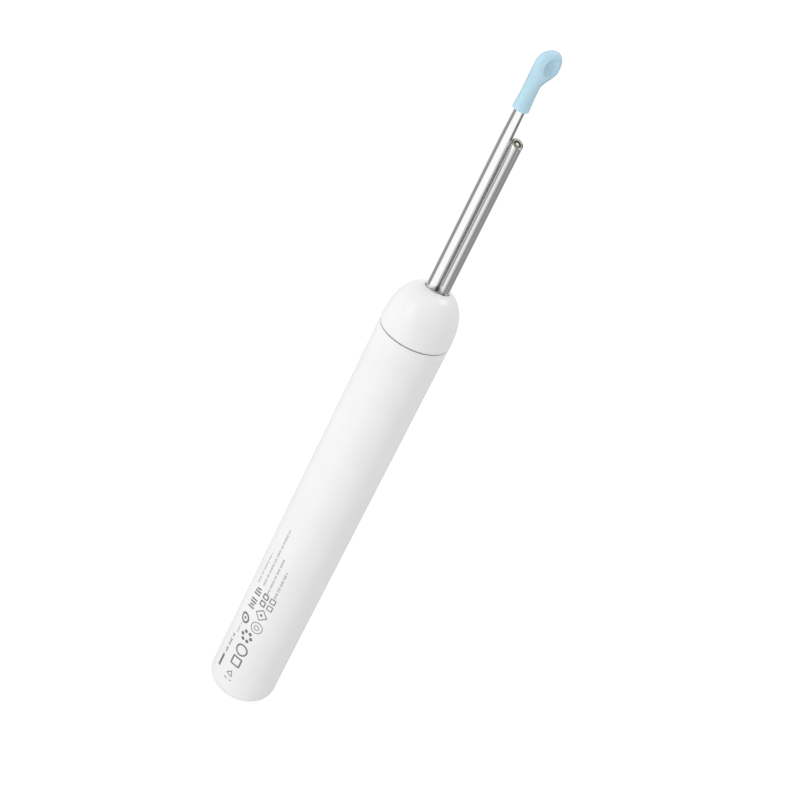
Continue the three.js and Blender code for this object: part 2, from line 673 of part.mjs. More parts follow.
const pen = new THREE.Group();
pen.name = 'ear_wax_cleaner';
pen.add(
  piece('handle_shell', handleShell(), 'white'),
  piece('front_dome', frontDome(), 'white'),
  piece('seam_ring', seamRing(), 'darkRubber'),
  piece('tube_holder', tubeHolder(), 'greyPlastic'),
  piece('tube_seal', tubeSeal(), 'darkRubber'),
  piece('scoop_rod', scoopRod(), 'steel'),
  piece('scoop_tip', scoopTip(), 'silicone'),
  piece('camera_tube', cameraTube(), 'steel'),
  piece('light_guide', lightGuide(), 'amber'),
  piece('lens_barrel', lensBarrel(), 'black'),
  piece('lens_window', lensWindow(), 'glass'),
  piece('lens_front', lensElement(BARREL_FOOT_Z + 1.15), 'glass'),
  piece('lens_rear', lensElement(BARREL_FOOT_Z + 0.3), 'glass'),
  piece('light_ring', lightRing(), 'ceramic'),
  piece('image_sensor', plateUnderBarrel(0.42, [0.03, 0.32]), 'black'),
  piece('sensor_board', plateUnderBarrel(0.5, [0.35, 0.55]), 'solderMask'),
  piece('camera_flex', cameraFlex(), 'flex'),
  piece('flex_connector', flexConnector(), 'ceramic'),
  piece('carrier_frame', carrierFrame(), 'greyPlastic'),
  piece('main_board', mainBoard(), 'board'),
  piece('radio_can', radioCan(), 'can'),
  piece('radio_chip', onBoard(RADIO_CHIP), 'black'),
  piece('video_chip', onBoard(VIDEO_CHIP), 'black'),
  piece('antenna_chip', onBoard(ANTENNA_CHIP), 'ceramic'),
  piece('motion_sensor', onBoard(MOTION_SENSOR), 'black'),
  piece('clock_crystal', onBoard(CLOCK_CRYSTAL), 'can'),
  piece('charge_chip', onBoard(CHARGE_CHIP), 'black'),
  piece('power_coil', onBoard(POWER_COIL), 'black'),
  piece('board_screw_tail', boardScrew(SCREW_Z[0]), 'steel'),
  piece('board_screw_front', boardScrew(SCREW_Z[1]), 'steel'),
  piece('battery_cell', batteryCell(), 'cell'),
  piece('battery_pad', batteryPad(), 'foam'),
  piece('battery_lead_red', batteryLead(1.6), 'red'),
  piece('battery_lead_black', batteryLead(-1.6), 'blackWire'),
  piece('usb_shell', usbShell(), 'steel'),
  piece('usb_tongue', usbTongue(), 'black'),
  piece('usb_seal', usbSeal(), 'darkRubber'),
  piece('switch_body', switchBody(), 'can'),
  piece('switch_plunger', switchPlunger(), 'black'),
  piece('button_cap', buttonCap(), 'white'),
  piece('status_light', onBoard(STATUS_LIGHT), 'ceramic'),
  piece('light_pipe', lightPipe(), 'lightPipe'),
);

export default pen;
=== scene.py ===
"""Looks for the ear wax cleaner: a white pen with a camera tube, a scoop rod and a soft blue tip.

Lengths in this file are millimetres until a mesh is made, where MM turns them into metres.
"""
import math

import bmesh
import bpy
from mathutils import Matrix, Vector


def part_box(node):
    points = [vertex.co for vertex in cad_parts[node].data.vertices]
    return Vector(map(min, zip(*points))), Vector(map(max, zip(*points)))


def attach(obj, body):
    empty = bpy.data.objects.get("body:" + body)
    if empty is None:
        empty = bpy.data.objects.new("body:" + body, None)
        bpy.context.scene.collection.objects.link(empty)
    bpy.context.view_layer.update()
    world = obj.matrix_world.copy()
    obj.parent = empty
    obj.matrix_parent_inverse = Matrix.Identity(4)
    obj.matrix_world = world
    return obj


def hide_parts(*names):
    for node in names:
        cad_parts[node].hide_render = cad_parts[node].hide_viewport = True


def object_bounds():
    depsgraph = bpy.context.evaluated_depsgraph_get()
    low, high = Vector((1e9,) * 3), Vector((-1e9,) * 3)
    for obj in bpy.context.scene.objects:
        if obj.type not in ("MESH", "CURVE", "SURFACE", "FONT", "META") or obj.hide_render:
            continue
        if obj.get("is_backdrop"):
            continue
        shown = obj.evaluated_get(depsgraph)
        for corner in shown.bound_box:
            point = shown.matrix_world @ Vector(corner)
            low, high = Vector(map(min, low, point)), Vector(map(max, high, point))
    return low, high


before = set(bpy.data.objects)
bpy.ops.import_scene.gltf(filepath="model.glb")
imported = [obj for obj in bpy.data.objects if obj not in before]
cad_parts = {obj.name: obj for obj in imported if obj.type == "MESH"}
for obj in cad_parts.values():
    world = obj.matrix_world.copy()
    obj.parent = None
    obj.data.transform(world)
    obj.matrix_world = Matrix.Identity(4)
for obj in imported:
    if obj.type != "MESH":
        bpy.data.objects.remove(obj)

MM = 0.001
TAU = 2 * math.pi
BODY, TIP, BUTTON = "pen", "soft_tip", "button"

cad_low, cad_high = (list(corner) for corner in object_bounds())


def node_box(node):
    """Lowest and highest corner of a CAD node, in millimetres."""
    low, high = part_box(node)
    return [v / MM for v in low], [v / MM for v in high]


HANDLE_HIGH = node_box("handle_shell")[1]
ROD_LOW, ROD_HIGH = node_box("scoop_rod")
TUBE_LOW, TUBE_HIGH = node_box("camera_tube")
TIP_LOW, TIP_HIGH = node_box("scoop_tip")
CAP_LOW, CAP_HIGH = node_box("button_cap")
PIPE_LOW, PIPE_HIGH = node_box("light_pipe")
PORT_LOW, PORT_HIGH = node_box("usb_shell")

HANDLE_R = HANDLE_HIGH[0]
SEAM_Z = HANDLE_HIGH[2]  # the handle ends here
SEAM_GAP = 0.25          # then comes the seam, and then the dome
DOME_H = 9.75            # height of the full dome above SEAM_Z, before its top is flattened
DOME_POWER = 2.5         # 2 would be an ellipse; more is squarer
MOUTH_X, MOUTH_HALF_X, MOUTH_HALF_Y = 0.14, 2.3, 1.5
MOUTH_Z = SEAM_Z + 9.45
MOUTH_DEPTH = 0.25       # the seal lies this far inside the mouth
ROD_X = (ROD_LOW[0] + ROD_HIGH[0]) / 2
ROD_R = (ROD_HIGH[0] - ROD_LOW[0]) / 2
TUBE_X = (TUBE_LOW[0] + TUBE_HIGH[0]) / 2
TUBE_R = (TUBE_HIGH[0] - TUBE_LOW[0]) / 2
TUBE_BORE_R = 0.87
FACE_Z = 125.8           # middle of the slanted camera face
FACE_SLOPE = (-0.23, 0.38)  # its rise per millimetre of x and of y
GUIDE_FOOT_Z = 124.2
BARREL_FOOT_Z = 123.4
BARREL_R = 0.61
WINDOW_R = 0.34
BUTTON_Z = (CAP_LOW[2] + CAP_HIGH[2]) / 2
BUTTON_R = 2.7
LIGHT_Z = (PIPE_LOW[2] + PIPE_HIGH[2]) / 2


# ---------------------------------------------------------------- camera
VIEW_PITCH, VIEW_YAW, VIEW_ROLL = 29.54, 0.63, 26.94  # degrees
VIEW_PLACE = (0, -273.3, SEAM_Z + 141.65)
VIEW_FOCAL_LENGTH = 80.06


def make_camera():
    """The main view: from the tip side, rolled so that the pen leans to the right."""
    pitch, yaw, roll = (math.radians(angle) for angle in (VIEW_PITCH, VIEW_YAW, VIEW_ROLL))
    ahead = math.cos(pitch)
    forward = Vector((math.sin(yaw) * ahead, math.cos(yaw) * ahead, -math.sin(pitch)))
    level = forward.cross(Vector((0, 0, 1))).normalized()
    upright = level.cross(forward)
    right = math.cos(roll) * level + math.sin(roll) * upright
    up = -math.sin(roll) * level + math.cos(roll) * upright
    data = bpy.data.cameras.new("camera")
    data.sensor_width = 36.0
    data.lens = VIEW_FOCAL_LENGTH
    data.clip_start = 0.01
    data.clip_end = 20.0
    camera = bpy.data.objects.new("camera", data)
    bpy.context.scene.collection.objects.link(camera)
    turn = Matrix((right, up, -forward)).transposed().to_4x4()
    camera.matrix_world = Matrix.Translation(Vector(VIEW_PLACE) * MM) @ turn
    bpy.context.scene.camera = camera


make_camera()


# ---------------------------------------------------------------- mesh helpers
def oval(half_x, half_y, centre, facets):
    """Points round an oval, as pairs."""
    angles = [TAU * i / facets for i in range(facets)]
    return [(centre[0] + half_x * math.cos(a), centre[1] + half_y * math.sin(a)) for a in angles]


def circle(radius, centre, facets):
    """Points round a circle, as pairs."""
    return oval(radius, radius, centre, facets)


def ring(z, radius, facets, centre=(0.0, 0.0)):
    """A level circle of points, or one pole point where the radius is 0."""
    count = facets if radius > 0 else 1
    return [(x, y, z) for x, y in circle(radius, centre, count)]


def skin(bm, rings, wrap=False):
    """Joins rings of points, lowest first, into a surface. wrap joins the last ring to the first."""
    made = [[bm.verts.new(p) for p in points] for points in rings]
    pairs = list(zip(made, made[1:]))
    if wrap:
        pairs.append((made[-1], made[0]))
    for a, b in pairs:
        count = max(len(a), len(b))
        for i in range(count):
            j = (i + 1) % count
            if len(a) == 1:
                bm.faces.new((a[0], b[j], b[i]))
            elif len(b) == 1:
                bm.faces.new((a[i], a[j], b[0]))
            else:
                bm.faces.new((a[i], a[j], b[j], b[i]))


def corner(centre, radius, start, end, steps):
    """Points on an arc of a profile, angles in degrees, as (radius, height)."""
    angles = [math.radians(start + (end - start) * i / steps) for i in range(steps + 1)]
    return [(centre[0] + radius * math.cos(a), centre[1] + radius * math.sin(a)) for a in angles]


def smooth_step(start, end, value):
    """0 up to start, 1 from end on, and an even curve between."""
    share = min(max((value - start) / (end - start), 0.0), 1.0)
    return share * share * (3 - 2 * share)


def to_object(name, bm):
    """Turns a bmesh in millimetres into an object in metres."""
    bmesh.ops.scale(bm, vec=(MM, MM, MM), verts=bm.verts)
    bmesh.ops.recalc_face_normals(bm, faces=bm.faces)
    mesh = bpy.data.meshes.new(name)
    bm.to_mesh(mesh)
    bm.free()
    thing = bpy.data.objects.new(name, mesh)
    bpy.context.scene.collection.objects.link(thing)
    return thing


def smooth_shading(mesh, sharp):
    """Shades a mesh smooth, except over edges of more than `sharp` degrees."""
    mesh.shade_smooth()
    mesh.set_sharp_from_angle(angle=math.radians(sharp))


def finish_mesh(name, bm, body, replaces=(), slot=None, sharp=35.0):
    """Turns a bmesh in millimetres into a smooth-shaded piece that rides on a body."""
    piece = to_object(name, bm)
    smooth_shading(piece.data, sharp)
    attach(piece, body)
    if replaces:
        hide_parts(*replaces)
    return piece


def turned(name, profile, facets, centre=(0.0, 0.0), **kinds):
    """An upright turned piece from (radius, height) pairs. A profile off the axis closes on itself."""
    bm = bmesh.new()
    wrap = profile[0][0] > 0 and profile[-1][0] > 0
    skin(bm, [ring(z, r, facets, centre) for r, z in profile], wrap)
    return finish_mesh(name, bm, BODY, **kinds)


def turned_along_y(name, profile, facets, centre_z, body, **kinds):
    """A turned piece whose axis lies along Y at height centre_z, from (radius, y) pairs."""
    bm = bmesh.new()
    skin(bm, [
        [(x, y, z) for x, z in circle(r, (0, centre_z), facets if r > 0 else 1)]
        for r, y in profile
    ])
    return finish_mesh(name, bm, body, **kinds)


def cutter(points_low, points_high):
    """A closed prism between two outlines, as a loose object used only for cutting."""
    bm = bmesh.new()
    low = [bm.verts.new(p) for p in points_low]
    high = [bm.verts.new(p) for p in points_high]
    count = len(low)
    for i in range(count):
        j = (i + 1) % count
        bm.faces.new((low[i], low[j], high[j], high[i]))
    bm.faces.new(list(reversed(low)))
    bm.faces.new(high)
    return to_object("cutter", bm)


def round_slot(width, height, radius, steps=10):
    """Outline of a rectangle with round corners, centred on the origin."""
    x, y = width / 2 - radius, height / 2 - radius
    points = []
    for cx, cy, start in ((x, y, 0), (-x, y, 90), (-x, -y, 180), (x, -y, 270)):
        points += corner((cx, cy), radius, start, start + 90, steps)
    return points


def along_z(outline, low, high):
    """A cutter that stands along Z."""
    return cutter([(x, y, low) for x, y in outline], [(x, y, high) for x, y in outline])


def along_y(outline, low, high):
    """A cutter that lies along Y."""
    return cutter([(x, low, z) for x, z in outline], [(x, high, z) for x, z in outline])


def apply_modifiers(piece, sharp=35.0):
    """Bakes the piece's modifiers into its mesh."""
    graph = bpy.context.evaluated_depsgraph_get()
    mesh = bpy.data.meshes.new_from_object(piece.evaluated_get(graph))
    piece.modifiers.clear()
    piece.data = mesh
    smooth_shading(mesh, sharp)


def cut(piece, tools, edge=0.0, sharp=35.0):
    """Cuts tools out of a piece and rounds the edges they leave by `edge` millimetres."""
    for tool in tools:
        step = piece.modifiers.new("cut", "BOOLEAN")
        step.operation = "DIFFERENCE"
        step.solver = "EXACT"
        step.object = tool
    if edge:
        rounding = piece.modifiers.new("edge", "BEVEL")
        rounding.width = edge * MM
        rounding.segments = 2
        rounding.limit_method = "ANGLE"
        rounding.angle_limit = math.radians(40)
    apply_modifiers(piece, sharp)
    for tool in tools:
        bpy.data.objects.remove(tool)


# ---------------------------------------------------------------- material helpers
class Paint:
    """A node material under construction: a Principled shader and the noises that feed it."""

    def __init__(self, name, roughness=0.5, metallic=0.0):
        self.material = bpy.data.materials.new(name)
        self.material.use_nodes = True
        self.nodes = self.material.node_tree.nodes
        self.links = self.material.node_tree.links
        self.shader = next(n for n in self.nodes if n.type == "BSDF_PRINCIPLED")
        self.shader.inputs["Roughness"].default_value = roughness
        self.shader.inputs["Metallic"].default_value = metallic
        self.place = self.nodes.new("ShaderNodeTexCoord")
        self.height = None

    def set(self, socket, value):
        """Sets a uniform value on the shader."""
        self.shader.inputs[socket].default_value = value

    def stretched(self, stretch):
        """Object coordinates, scaled along each axis."""
        mapping = self.nodes.new("ShaderNodeMapping")
        mapping.inputs["Scale"].default_value = stretch
        self.links.new(self.place.outputs["Object"], mapping.inputs["Vector"])
        return mapping.outputs["Vector"]

    def noise(self, per_mm, stretch=(1, 1, 1), detail=3.0):
        """Grey noise with `per_mm` features to a millimetre."""
        noise = self.nodes.new("ShaderNodeTexNoise")
        noise.inputs["Scale"].default_value = per_mm / MM
        noise.inputs["Detail"].default_value = detail
        self.links.new(self.stretched(stretch), noise.inputs["Vector"])
        return noise.outputs["Fac"]

    def ramp(self, value, low, high, start=0.3, end=0.7):
        """Colour that goes from low at start to high at end."""
        ramp = self.nodes.new("ShaderNodeValToRGB")
        ramp.color_ramp.elements[0].position = start
        ramp.color_ramp.elements[1].position = end
        ramp.color_ramp.elements[0].color = low
        ramp.color_ramp.elements[1].color = high
        self.links.new(value, ramp.inputs["Fac"])
        return ramp.outputs["Color"]

    def multiplied(self, first, second):
        """The product of two colours."""
        mix = self.nodes.new("ShaderNodeMix")
        mix.data_type = "RGBA"
        mix.blend_type = "MULTIPLY"
        mix.inputs["Factor"].default_value = 1.0
        self.links.new(first, mix.inputs["A"])
        self.links.new(second, mix.inputs["B"])
        return mix.outputs["Result"]

    def colour(self, value, low, high):
        """Base colour that goes between two tones with value."""
        out = self.ramp(value, (*low, 1), (*high, 1))
        self.links.new(out, self.shader.inputs["Base Color"])

    def roughness(self, value, low, high):
        """Roughness that goes between low and high with value."""
        out = self.ramp(value, (low, low, low, 1), (high, high, high, 1))
        self.links.new(out, self.shader.inputs["Roughness"])

    def bump(self, value, depth_mm):
        """Surface relief from value, on top of the relief already there."""
        bump = self.nodes.new("ShaderNodeBump")
        bump.inputs["Distance"].default_value = depth_mm * MM
        bump.inputs["Strength"].default_value = 1.0
        self.links.new(value, bump.inputs["Height"])
        if self.height:
            self.links.new(self.height, bump.inputs["Normal"])
        self.height = bump.outputs["Normal"]
        self.links.new(self.height, self.shader.inputs["Normal"])


def azimuth(nodes, links, vector):
    """Share of the way round Z that a vector points: 0.5 is the viewer's side, more is the tube's side."""
    split = nodes.new("ShaderNodeSeparateXYZ")
    links.new(vector, split.inputs["Vector"])
    flip = nodes.new("ShaderNodeMath")
    flip.operation = "MULTIPLY"
    flip.inputs[1].default_value = -1
    links.new(split.outputs["Y"], flip.inputs[0])
    turn = nodes.new("ShaderNodeMath")
    turn.operation = "ARCTAN2"
    links.new(split.outputs["X"], turn.inputs[0])
    links.new(flip.outputs["Value"], turn.inputs[1])
    share = nodes.new("ShaderNodeMapRange")
    share.inputs["From Min"].default_value = -math.pi
    share.inputs["From Max"].default_value = math.pi
    links.new(turn.outputs["Value"], share.inputs["Value"])
    return share.outputs["Result"]


def grey_ramp(nodes, links, share, levels):
    """Greys that go round Z as (degrees from the viewer's side, level) pairs say."""
    ramp = nodes.new("ShaderNodeValToRGB")
    marks = ramp.color_ramp.elements
    while len(marks) < len(levels):
        marks.new(0.5)
    for mark, (degrees, level) in zip(marks, levels):
        mark.position = (degrees + 180) / 360
        mark.color = (level, level, level, 1)
    links.new(share, ramp.inputs["Fac"])
    return ramp.outputs["Color"]


# ---------------------------------------------------------------- materials
def white_plastic():
    """Satin moulded ABS: almost even white with a fine moulded skin."""
    paint = Paint("white_plastic")
    paint.colour(paint.noise(0.09, detail=2.0), (0.80, 0.80, 0.805), (0.83, 0.83, 0.832))
    paint.roughness(paint.noise(0.7), 0.29, 0.35)
    paint.bump(paint.noise(0.35, detail=2.0), 0.004)
    paint.bump(paint.noise(6.0, detail=1.0), 0.0006)
    paint.set("IOR", 1.5)
    return paint.material


def around(paint, axis_x):
    """Share of the way round an upright axis at x = axis_x, 0.5 at the viewer's side."""
    shift = paint.nodes.new("ShaderNodeVectorMath")
    shift.operation = "SUBTRACT"
    shift.inputs[1].default_value = (axis_x * MM, 0, 0)
    paint.links.new(paint.place.outputs["Object"], shift.inputs[0])
    return azimuth(paint.nodes, paint.links, shift.outputs["Vector"])


def drawn_steel(name, axis_x, tones):
    """Drawn tube: fine lines along Z, a painted sheen (bands of reflection and shade in the base colour)
    that goes round as `tones` says, and painted shade that darkens its up-facing end.
    """
    paint = Paint(name, metallic=1.0)
    lines = paint.noise(7.0, stretch=(1, 1, 0.012), detail=4.0)
    streaks = paint.ramp(lines, (0.95, 0.95, 0.95, 1), (1, 1, 0.99, 1))
    # painted sheen: reflections and shade painted into the base colour round the tube
    sheen = grey_ramp(paint.nodes, paint.links, around(paint, axis_x), tones)
    sides = paint.nodes.new("ShaderNodeSeparateXYZ")
    paint.links.new(paint.place.outputs["Normal"], sides.inputs["Vector"])
    # painted shade: faces that point up, such as the cut end, are darkened so that they catch less highlight
    painted_end_shade = paint.ramp(sides.outputs["Z"], (1, 1, 1, 1), (0.3, 0.3, 0.3, 1), 0.35, 0.65)
    tone = paint.multiplied(paint.multiplied(streaks, sheen), painted_end_shade)
    paint.links.new(tone, paint.shader.inputs["Base Color"])
    paint.roughness(paint.noise(3.0, stretch=(1, 1, 0.03)), 0.136, 0.192)
    paint.bump(lines, 0.0004)
    return paint.material


def soft_silicone():
    """Light blue silicone: a soft sheen, a little light passing through, and painted shade that makes it
    darker and greyer towards its outline.
    """
    paint = Paint("soft_silicone")
    tint = paint.ramp(paint.noise(0.35, detail=2.0), (0.44, 0.66, 0.78, 1), (0.48, 0.69, 0.80, 1))
    # painted shade: the colour darkens and greys where the surface turns away from the viewer
    grazing = paint.nodes.new("ShaderNodeLayerWeight")
    edges = paint.ramp(grazing.outputs["Facing"], (1, 1, 1, 1), (0.60, 0.68, 0.68, 1), 0.45, 0.9)
    paint.links.new(paint.multiplied(tint, edges), paint.shader.inputs["Base Color"])
    paint.roughness(paint.noise(2.5), 0.36, 0.48)
    paint.bump(paint.noise(1.2, detail=2.0), 0.006)
    paint.bump(paint.noise(12.0), 0.0015)
    paint.set("Coat Weight", 0.3)
    paint.set("Coat Roughness", 0.22)
    paint.set("Subsurface Weight", 0.35)
    paint.set("Subsurface Radius", (0.5, 0.9, 1.0))
    paint.set("Subsurface Scale", 0.8 * MM)
    return paint.material


def dull(name, low, high, rough=(0.5, 0.7), grain=4.0, depth=0.003, stretch=(1, 1, 1), metallic=0.0):
    """Any plain moulded, coated or rubbery surface: two close tones, uneven gloss and a fine grain."""
    paint = Paint(name, metallic=metallic)
    paint.colour(paint.noise(grain / 3, stretch=stretch), low, high)
    paint.roughness(paint.noise(grain / 2, stretch=stretch), *rough)
    paint.bump(paint.noise(grain, stretch=stretch), depth)
    return paint.material


def lens_glass():
    """Coated lens glass with faint unevenness in its polish."""
    paint = Paint("lens_glass")
    paint.colour(paint.noise(1.5), (0.93, 0.97, 0.95), (0.967, 1.0, 0.988))
    paint.roughness(paint.noise(4.0), 0.02, 0.06)
    paint.bump(paint.noise(1.0), 0.0004)
    paint.set("Transmission Weight", 1.0)
    paint.set("IOR", 1.5)
    paint.set("Coat Weight", 0.3)
    return paint.material


def amber_resin():
    """The light guide's khaki resin."""
    paint = Paint("amber_resin")
    paint.colour(paint.noise(5.0), (0.34, 0.335, 0.235), (0.43, 0.42, 0.31))
    paint.roughness(paint.noise(6.0), 0.25, 0.4)
    paint.bump(paint.noise(8.0), 0.003)
    paint.set("Subsurface Weight", 0.5)
    paint.set("Subsurface Radius", (1.0, 0.9, 0.5))
    paint.set("Subsurface Scale", 0.3 * MM)
    return paint.material


def circuit_board(name, mask_low, mask_high):
    """Solder mask with faint copper traces showing through it."""
    paint = Paint(name)
    bricks = paint.nodes.new("ShaderNodeTexBrick")
    bricks.inputs["Scale"].default_value = 0.6 / MM
    bricks.inputs["Mortar Size"].default_value = 0.03
    bricks.inputs["Color1"].default_value = (*mask_low, 1)
    bricks.inputs["Color2"].default_value = (*mask_high, 1)
    bricks.inputs["Mortar"].default_value = (*(c * 1.9 for c in mask_high), 1)
    swap = paint.nodes.new("ShaderNodeMapping")
    swap.inputs["Rotation"].default_value = (math.pi / 2, 0, 0)
    paint.links.new(paint.place.outputs["Object"], swap.inputs["Vector"])
    paint.links.new(swap.outputs["Vector"], bricks.inputs["Vector"])
    paint.links.new(bricks.outputs["Color"], paint.shader.inputs["Base Color"])
    paint.roughness(paint.noise(2.0), 0.32, 0.45)
    paint.bump(bricks.outputs["Fac"], 0.01)
    return paint.material


def wrapped_foil():
    """The battery pouch: crinkled aluminised foil."""
    paint = Paint("cell_foil", metallic=0.8)
    paint.colour(paint.noise(0.3), (0.52, 0.54, 0.58), (0.64, 0.66, 0.70))
    paint.roughness(paint.noise(1.2), 0.3, 0.45)
    paint.bump(paint.noise(0.6, detail=5.0), 0.05)
    return paint.material


WHITE = white_plastic()
# painted sheen: bright and dark bands of reflection and shade painted into each tube's base colour, as
# (degrees from the viewer's side, tone) round the tube
ROD_PAINTED_SHEEN = [(-180, 0.9), (-90, 0.92), (36, 0.92), (50, 0.6), (110, 0.6), (130, 0.9), (180, 0.9)]
TUBE_PAINTED_SHEEN = [
    (-180, 0.9), (-130, 0.9), (-110, 0.6), (-60, 0.6), (-40, 0.8),
    (-10, 0.78), (12, 0.23), (28, 0.26), (42, 0.85), (180, 0.9),
]
ROD_STEEL = drawn_steel("rod_steel", ROD_X, ROD_PAINTED_SHEEN)
TUBE_STEEL = drawn_steel("tube_steel", TUBE_X, TUBE_PAINTED_SHEEN)
PLATED_STEEL = dull(
    "plated_steel", (0.55, 0.56, 0.58), (0.66, 0.67, 0.69), (0.22, 0.34), 5.0, 0.002, metallic=1.0)
SILICONE = soft_silicone()
SEAL = dull("seal_rubber", (0.11, 0.11, 0.112), (0.15, 0.15, 0.152), (0.6, 0.8), 6.0)
MOUTH_SEAL = dull("mouth_rubber", (0.50, 0.50, 0.505), (0.58, 0.58, 0.585), (0.6, 0.8), 6.0)
GLASS = lens_glass()
# front glass: its pale cream colour is a painted highlight across the lens
FRONT_GLASS_PAINTED_HIGHLIGHT = dull("front_glass", (0.66, 0.66, 0.56), (0.82, 0.82, 0.72), (0.05, 0.12), 3.0, 0.0005)
AMBER = amber_resin()
LENS_BLACK = dull("lens_black", (0.006, 0.006, 0.007), (0.014, 0.014, 0.014), (0.3, 0.45), 10.0, 0.002)
FRAME_GREY = dull("frame_grey", (0.25, 0.26, 0.28), (0.31, 0.32, 0.34))
BOARD = circuit_board("board_green", (0.01, 0.085, 0.04), (0.014, 0.10, 0.05))
BOARD_BLUE = circuit_board("board_blue", (0.01, 0.022, 0.06), (0.014, 0.03, 0.075))
TIN = dull("tinned_sheet", (0.55, 0.56, 0.58), (0.68, 0.69, 0.71), (0.25, 0.4), 3.0, 0.004, metallic=1.0)
CHIP = dull("chip_black", (0.010, 0.010, 0.011), (0.02, 0.02, 0.021), (0.45, 0.6), 8.0)
CERAMIC = dull("ceramic", (0.70, 0.68, 0.60), (0.78, 0.76, 0.70), (0.35, 0.5), 5.0)
FOIL = wrapped_foil()
FOAM = dull("foam", (0.66, 0.63, 0.55), (0.76, 0.73, 0.66), (0.85, 0.95), 3.0, 0.05)
FLEX = dull("flex_film", (0.42, 0.18, 0.03), (0.52, 0.25, 0.05), (0.3, 0.42), 2.0, 0.002, (1, 1, 0.1))
WIRE_RED = dull("wire_red", (0.36, 0.02, 0.015), (0.45, 0.035, 0.02), (0.4, 0.55))
WIRE_BLACK = dull("wire_black", (0.012, 0.012, 0.013), (0.02, 0.02, 0.021), (0.4, 0.55))
FROSTED = dull("frosted_acrylic", (0.74, 0.78, 0.80), (0.82, 0.86, 0.88), (0.2, 0.3), 6.0, 0.002)
PRINT = dull("print_ink", (0.15, 0.15, 0.155), (0.21, 0.21, 0.215), (0.45, 0.6), 8.0, 0.001)


def coat(piece, material):
    """Gives the whole piece one material."""
    piece.data.materials.clear()
    piece.data.materials.append(material)
    return piece


# ---------------------------------------------------------------- handle
def handle():
    """The white tube with its rounded tail, open at the front and pierced for the port, button and light."""
    edge, wall, floor, rim = 2.5, 1.0, 1.4, 0.06
    bore = HANDLE_R - wall
    spacing = 2.0
    steps = int((SEAM_Z - edge) / spacing)
    hole_from, hole_to = 4, HANDLE_R + 1
    button_hole_r, light_hole_r = BUTTON_R + 0.15, 0.6
    side = [(HANDLE_R, edge + (SEAM_Z - rim - edge) * i / steps) for i in range(1, steps + 1)]
    profile = [
        (0, 0),
        *corner((HANDLE_R - edge, edge), edge, -90, 0, 16),
        *side,
        *corner((HANDLE_R - rim, SEAM_Z - rim), rim, 20, 90, 4),
        (bore, SEAM_Z),
        *corner((bore - wall, floor + wall), wall, 0, -90, 4),
        (0, floor),
    ]
    piece = turned("handle", profile, 192, replaces=["handle_shell"], slot="shell_white")
    cut(piece, [
        along_z(round_slot(9.1, 3.3, 1.6), -1, floor + 1),
        along_y(circle(button_hole_r, (0, BUTTON_Z), 72), hole_from, hole_to),
        along_y(circle(light_hole_r, (0, LIGHT_Z), 32), hole_from, hole_to),
    ], edge=0.12)
    return coat(piece, WHITE)


# ---------------------------------------------------------------- dome
def mouth_oval(margin, facets, z_at):
    """The dome's oval mouth, `margin` outside its edge; z_at gives the height over each point."""
    outline = oval(MOUTH_HALF_X + margin, MOUTH_HALF_Y + margin, (MOUTH_X, 0), facets)
    return [(x, y, z_at(x, y)) for x, y in outline]


def dome():
    """The front dome: a smooth cap, flattened at the top where the oval mouth lets the tubes out."""
    facets = 160
    foot = SEAM_Z + SEAM_GAP
    height = DOME_H - SEAM_GAP
    edge, mouth_edge, softness = 0.05, 0.08, 0.06

    def cap_z(x, y):
        share = min(math.hypot(x, y) / HANDLE_R, 1.0)
        curve = foot + height * (1 - share ** DOME_POWER) ** (1 / DOME_POWER)
        return (curve + MOUTH_Z - math.hypot(curve - MOUTH_Z, softness)) / 2

    rings = []
    edge_steps = 5
    for i in range(edge_steps + 1):
        angle = (math.pi / 2) * i / edge_steps
        drop = mouth_edge * (1 - math.sin(angle))
        margin = mouth_edge * (1 - math.cos(angle))
        rings.append(mouth_oval(margin, facets, lambda x, y: cap_z(x, y) - drop))
    outer_steps = 60
    mouth_rim, base = rings[-1], circle(HANDLE_R, (0, 0), facets)
    for i in range(1, outer_steps + 1):
        blend = math.sin((math.pi / 2) * i / outer_steps)
        points = []
        for (mouth_x, mouth_y, _), (base_x, base_y) in zip(mouth_rim, base):
            x = mouth_x + (base_x - mouth_x) * blend
            y = mouth_y + (base_y - mouth_y) * blend
            points.append((x, y, cap_z(x, y) if i < outer_steps else foot + edge))
        rings.append(points)
    neck_r, inner_r, inner_foot = 5.5, 4.6, foot + 0.6
    inner_height = DOME_H - 2.0
    inner_power, inner_steps = 0.85, 10
    rings += [
        ring(foot, HANDLE_R - edge, facets),
        ring(foot, neck_r, facets),
        ring(inner_foot, inner_r, facets),
    ]
    for i in range(1, inner_steps - 1):
        angle = (math.pi / 2) * i / inner_steps
        inner_z = inner_foot + inner_height * math.sin(angle) ** inner_power
        rings.append(ring(inner_z, inner_r * math.cos(angle) ** inner_power, facets))
    inner_top = rings[-1][0][2]
    rings.append(mouth_oval(0.03, facets, lambda x, y: inner_top + 0.1))
    rings.append(mouth_oval(0.0, facets, lambda x, y: inner_top + 0.2))
    bm = bmesh.new()
    skin(bm, rings, wrap=True)
    piece = finish_mesh("dome", bm, BODY, replaces=["front_dome"], slot="shell_white", sharp=50)
    return coat(piece, WHITE)


def seam():
    """The rubber ring that shows as the dark line between handle and dome."""
    middle, half = SEAM_Z + SEAM_GAP / 2, SEAM_GAP / 2 - 0.02
    inner_r, outer_r = 5.6, 6.3
    profile = [
        (inner_r, middle - half),
        *corner((outer_r - half, middle), half, -90, 90, 6),
        (inner_r, middle + half),
    ]
    return coat(turned("seam_line", profile, 192, replaces=["seam_ring"], slot="seal_rubber"), SEAL)


